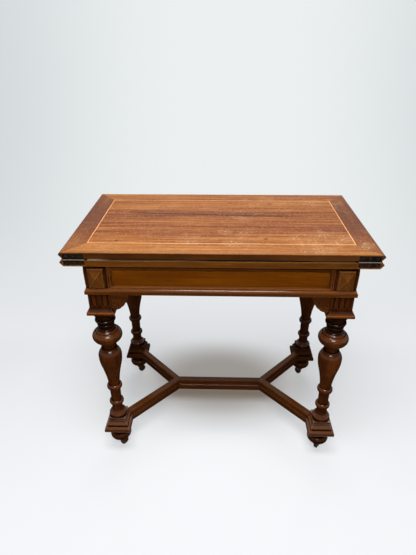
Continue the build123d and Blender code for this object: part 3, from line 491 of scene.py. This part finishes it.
# Rails, their mouldings, bosses and brackets
for sides_alike, turn, word in ((("front", "back"), ALONG_X, "long"), (("left", "right"), ALONG_Y, "short")):
    field_wood = polished_wood("frieze_field_polish_" + word, turn, FRIEZE_TONES, roughness=0.34, edge_wear_and_light=0.6,
                               shift=(0.3, 0.5, 0.1), coat=0.006)
    moulding_wood = polished_wood("moulding_polish_" + word, turn, MOULDING_TONES, roughness=0.22, edge_wear_and_light=0.9,
                                  shift=(0.8, 0.3, 0.4), shine=0.26)
    for side in sides_alike:
        wear_material("rail_" + side, field_wood)
        wear_material("frieze_moulding_" + side, moulding_wood)
        wear_material("base_moulding_" + side, moulding_wood)
boss_wood = polished_wood("boss_polish", UPRIGHT, BOSS_TONES, roughness=0.26, edge_wear_and_light=1.5, shift=(0.4, 0.6, 0.9),
                          shine=0.28, round_over=0.004, rubbed_shine=0.06)
bracket_wood = polished_wood("bracket_polish", ALONG_X, BRACKET_TONES, edge_wear_and_light=0.5, dirt_and_shade=1.0, shift=(0.6, 0.7, 0.2),
                             shine=0.04, reach=0.005, open_at=0.96, round_over=0.0014, rubbed_shine=0.05)
wear_material("diamond_bosses", boss_wood)
wear_material("scroll_brackets", bracket_wood)

# Top and inner boards
wear_material("upper_leaf", scratched_top("scratched_top"))
wear_material("lower_leaf", polished_wood("lower_leaf_polish", ALONG_X, LOWER_LEAF_TONES, roughness=0.34, edge_wear_and_light=0.8,
                                          dirt_and_shade=0.8, shift=(0.9, 0.2, 0.3)))
wear_material("string_inlay", polished_wood("string_polish", ALONG_X, STRING_TONES, roughness=0.5, edge_wear_and_light=0.2,
                                            dirt_and_shade=0.3, coat=0.0))
for board, turn in (("pivot_board", ALONG_Y), ("well_partition", ALONG_Y), ("well_floor", ALONG_X)):
    wear_material(board, raw_wood(board + "_raw", turn))

# Metal fittings
hinge_metal = old_metal("hinge_dark_brass", (0.028, 0.015, 0.006), (0.006, 0.0032, 0.0014), 0.42,
                        rubbed=(0.46, 0.37, 0.28), pale_band=HINGE_LINE)
steel = old_metal("pivot_steel", (0.300, 0.290, 0.270), (0.090, 0.050, 0.030), 0.36)
pin_steel = old_metal("rubbed_pin_steel", (0.620, 0.580, 0.520), (0.330, 0.280, 0.220), 0.34)
caster_metal = old_metal("caster_brass", (0.085, 0.036, 0.014), (0.022, 0.009, 0.004), 0.42)
wheel_metal = old_metal("wheel_iron", (0.095, 0.034, 0.013), (0.028, 0.010, 0.004), 0.48)
for node in ("lower_hinge_plates", "upper_hinge_plates", "lower_leaf_screws", "upper_leaf_screws"):
    wear_material(node, hinge_metal)
wear_material("hinge_pins", pin_steel)
for node in ("pivot_plate", "pivot_bolt", "pivot_washer", "pivot_nut", "stop_pin"):
    wear_material(node, steel)
wear_material("caster_sockets", caster_metal)
for corner in corners:
    wear_material("caster_fork_" + corner, caster_metal)
    wear_material("caster_wheel_" + corner, wheel_metal)


def add_object(name, data):
    made = bpy.data.objects.new(name, data)
    bpy.context.scene.collection.objects.link(made)
    return made


class Maker:
    """A Geometry Nodes tree under construction, with named inputs for its sizes."""

    def __init__(self, name):
        self.tree = bpy.data.node_groups.new(name, "GeometryNodeTree")
        self.tree.interface.new_socket("Geometry", in_out="OUTPUT", socket_type="NodeSocketGeometry")
        self.inlet = self.tree.nodes.new("NodeGroupInput")
        self.bench = Wire(self.tree)
        self.values = {}

    def size(self, name, value):
        """A named input and its value."""
        socket = self.tree.interface.new_socket(name, in_out="INPUT", socket_type="NodeSocketFloat")
        self.values[socket.identifier] = value
        return Wire(self.tree, self.inlet.outputs[name])

    def box_sizes(self, low, high):
        return [self.size(name, top - bottom) for name, bottom, top in zip(("Length", "Width", "Thickness"), low, high)]

    def piece(self, geometry, name, material):
        """Run the tree and keep its result as a plain mesh object."""
        real = self.bench.node("GeometryNodeRealizeInstances", {0: geometry})
        dressed = self.bench.node("GeometryNodeSetMaterial", {"Geometry": real, "Material": material})
        outlet = self.tree.nodes.new("NodeGroupOutput")
        self.tree.links.new(dressed.socket, outlet.inputs[0])
        holder = add_object(name + "_maker", bpy.data.meshes.new(name + "_maker"))
        modifier = holder.modifiers.new("tree", "NODES")
        modifier.node_group = self.tree
        for identifier, value in self.values.items():
            modifier[identifier] = value
        bpy.context.view_layer.update()
        made = holder.evaluated_get(bpy.context.evaluated_depsgraph_get())
        mesh = bpy.data.meshes.new_from_object(made)
        holder.modifiers.clear()
        bpy.data.objects.remove(holder)
        for polygon in mesh.polygons:
            polygon.use_smooth = False
        return add_object(name, mesh)


def baize_sheet(name, low, high, up, material):
    """Cloth cut to its recess, glued down, its face a little uneven."""
    maker = Maker(name + "_tree")
    bench = maker.bench
    length, width, thickness = maker.box_sizes(low, high)
    unevenness = maker.size("Unevenness", 0.00012)
    grid = bench.node("GeometryNodeMeshGrid", {"Size X": length, "Size Y": width, "Vertices X": 89, "Vertices Y": 53})
    swell = bench.node("ShaderNodeTexNoise", {"Scale": 34.0, "Detail": 2.0})
    offset = bench.node("ShaderNodeCombineXYZ", {"Z": (swell - 0.5) * unevenness})
    uneven = bench.node("GeometryNodeSetPosition", {"Geometry": grid, "Offset": offset})
    solid = bench.node("GeometryNodeExtrudeMesh", {"Mesh": uneven, "Offset Scale": thickness, "Individual": False})
    under = bench.node("GeometryNodeFlipFaces", {0: uneven})
    both = bench.node("GeometryNodeJoinGeometry", {0: solid})
    maker.tree.links.new(under.socket, both.socket.node.inputs[0])
    closed = bench.node("GeometryNodeMergeByDistance", {"Geometry": both, "Distance": 0.00001})
    piece = maker.piece(closed, name, material)
    middle = (low + high) / 2
    turn = Matrix() if up else Matrix.Rotation(math.pi, 4, "X")
    base = low.z if up else high.z
    piece.data.transform(Matrix.Translation((middle.x, middle.y, base)) @ turn)
    return piece


def edge_tape(name, low, high, tape_width, material):
    """Flat tape that follows the baize's four edges, mitred at its corners."""
    maker = Maker(name + "_tree")
    bench = maker.bench
    tape = maker.size("Tape width", tape_width)
    length, width, thickness = maker.box_sizes(low, high)
    path = bench.node("GeometryNodeCurvePrimitiveQuadrilateral", {"Width": length - tape, "Height": width - tape})
    # A section stands at 45 degrees across each mitre, so it's wider than the tape
    across = tape * math.sqrt(2)
    section = bench.node("GeometryNodeCurvePrimitiveQuadrilateral", {"Width": across, "Height": thickness})
    strip = bench.node("GeometryNodeCurveToMesh", {"Curve": path, "Profile Curve": section})
    piece = maker.piece(strip, name, material)
    piece.data.transform(Matrix.Translation((low + high) / 2))
    return piece


baize_cloth = woven_cloth("green_baize", (0.004, 0.016, 0.009), (0.016, 0.070, 0.036), 0.0011, 0.75)
tape_cloth = woven_cloth("stained_tape", (0.480, 0.430, 0.280), (0.840, 0.800, 0.600), 0.0008, 0.35, stained_and_shaded=True)
for level, up in (("lower", True), ("upper", False)):
    low, high = (Vector(corner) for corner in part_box(level + "_baize"))
    cloth = baize_sheet(level + "_baize_cloth", low, high, up, baize_cloth)
    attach(cloth, level + "_leaf")
    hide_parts(level + "_baize")
    low, high = (Vector(corner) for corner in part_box(level + "_tape"))
    tape = edge_tape(level + "_tape_strip", low, high, TAPE_WIDTH, tape_cloth)
    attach(tape, level + "_leaf")
    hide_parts(level + "_tape")


def paper_mesh():
    """Floor that curves up into a backdrop, with walls at the sides and behind the camera."""
    wall = CURVE_START + CURVE_RADIUS
    profile = [(-PAPER_REACH, PAPER_HEIGHT), (-PAPER_REACH, 0.0), (-3.0, 0.0), (CURVE_START, 0.0)]
    for angle in (math.radians(9 * step) for step in range(1, 11)):
        profile.append((CURVE_START + CURVE_RADIUS * math.sin(angle), CURVE_RADIUS * (1 - math.cos(angle))))
    profile.append((wall, PAPER_HEIGHT))
    points = [(x, y, z) for y, z in profile for x in (-PAPER_REACH, PAPER_REACH)]
    faces = [(i, i + 1, i + 3, i + 2) for i in range(0, len(points) - 2, 2)]
    for x in (-PAPER_REACH, PAPER_REACH):
        first = len(points)
        points += [(x, -PAPER_REACH, 0.0), (x, wall, 0.0), (x, wall, PAPER_HEIGHT), (x, -PAPER_REACH, PAPER_HEIGHT)]
        faces.append((first, first + 1, first + 2, first + 3))
    mesh = bpy.data.meshes.new("studio_paper")
    mesh.from_pydata(points, [], faces)
    for polygon in mesh.polygons:
        polygon.use_smooth = True
    return mesh


def paper_finish():
    """Pale paper. Its glow is seen by the camera and in reflections, and lights nothing."""
    material, bench, place = begin("studio_paper")
    x, y = apart(place)[:2]
    # Painted falloff of the light: the backdrop darker towards its sides, the floor darker towards the back
    left_fall = rise(x, -0.25, -2.1)
    right_fall = rise(x, 0.45, 2.3)
    wall = blended(left_fall * 0.80 + right_fall * 0.85, (0.835, 0.868, 0.875), (0.600, 0.640, 0.655))
    floor = blended(rise(y, -0.75, 0.9), (0.930, 0.945, 0.965), (0.820, 0.840, 0.860))
    # Painted shadow, deeper and warmer, on the floor between the feet and under the stretcher's bar
    under = place.node("ShaderNodeVectorMath", {0: stretched(place, 2.3, 3.4, 0), 1: (0, -0.51, 0)}, operation="ADD")
    shade = 1 - rise(distance(under), 0.32, 1.04)
    floor = blended(shade * 0.95, floor, (0.405, 0.380, 0.350))
    bar_shade = near_zero(y - 0.068, 0.004, 0.058) * near_zero(x, 0.15, 0.28)
    floor = blended(bar_shade * 0.85, floor, (0.240, 0.195, 0.150))
    rays = [bench.node("ShaderNodeLightPath", out=ray)
            for ray in ("Is Camera Ray", "Is Glossy Ray", "Is Transmission Ray")]
    watched = clamped(rays[0] + rays[1] + rays[2])
    diffuse = bench.node("ShaderNodeBsdfDiffuse", {"Color": floor})
    wall_glow = bench.node("ShaderNodeEmission", {"Color": wall, "Strength": watched})
    floor_glow = bench.node("ShaderNodeEmission", {"Color": floor, "Strength": watched})
    # Part of what the camera and reflections see is the floor's glow, which paints light over its lamp-lit shadows,
    # more towards the back
    lift = rise(y, 0.26, 0.52) * 0.25 + 0.55
    lifted = bench.node("ShaderNodeMixShader", {0: watched * lift, 1: diffuse, 2: floor_glow})
    far = higher(rise(y, 0.55, 1.75), higher(rise(0 - y, 5, 12), rise(unsigned(x), 5, 12)))
    surface(bench.node("ShaderNodeMixShader", {0: far, 1: lifted, 2: wall_glow}))
    return material


def soft_box(name, place, target, width, height, power, shown=True):
    light = bpy.data.lights.new(name, "AREA")
    light.shape = "RECTANGLE"
    light.size, light.size_y, light.energy = width, height, power
    lamp = add_object(name, light)
    lamp.location = place
    lamp.rotation_euler = (Vector(target) - Vector(place)).to_track_quat("-Z", "Y").to_euler()
    lamp.visible_camera = shown


def photograph_camera(place, aim, roll, lens):
    """Camera at a place, looking along aim and rolled about it."""
    data = bpy.data.cameras.new("camera")
    data.lens = lens
    data.sensor_width = 36.0
    camera = add_object("camera", data)
    forward = Vector(aim).normalized()
    level = forward.cross(Vector((0, 0, 1))).normalized()
    right = Matrix.Rotation(roll, 3, forward) @ level
    sights = Matrix((right, right.cross(forward), -forward)).transposed().to_4x4()
    camera.matrix_world = Matrix.Translation(place) @ sights
    bpy.context.scene.camera = camera


# Studio
paper = add_object("studio_paper", paper_mesh())
paper.data.materials.append(paper_finish())
world = bpy.data.worlds.new("studio")
bpy.context.scene.world = world
world.use_nodes = True
background = world.node_tree.nodes["Background"]
background.inputs["Color"].default_value = (0.93, 0.97, 1.0, 1)
background.inputs["Strength"].default_value = 0.22
soft_box("overhead_box", (-0.1, -0.75, 2.7), (0, 0, 0.3), 1.1, 0.7, 40)
soft_box("rear_box", (0.1, 1.9, 1.9), (0, 0, 0.3), 2.2, 0.9, 20, shown=False)
soft_box("front_box", (0.05, -1.75, 2.25), (0, 0, 0.4), 0.90, 0.45, 24, shown=False)
photograph_camera(place=(0.0020, -1.2701, 1.2805), aim=(-0.02893, 0.87293, -0.48695), roll=math.radians(0.33),
                  lens=28.71)

bpy.context.scene.view_settings.view_transform = "Standard"
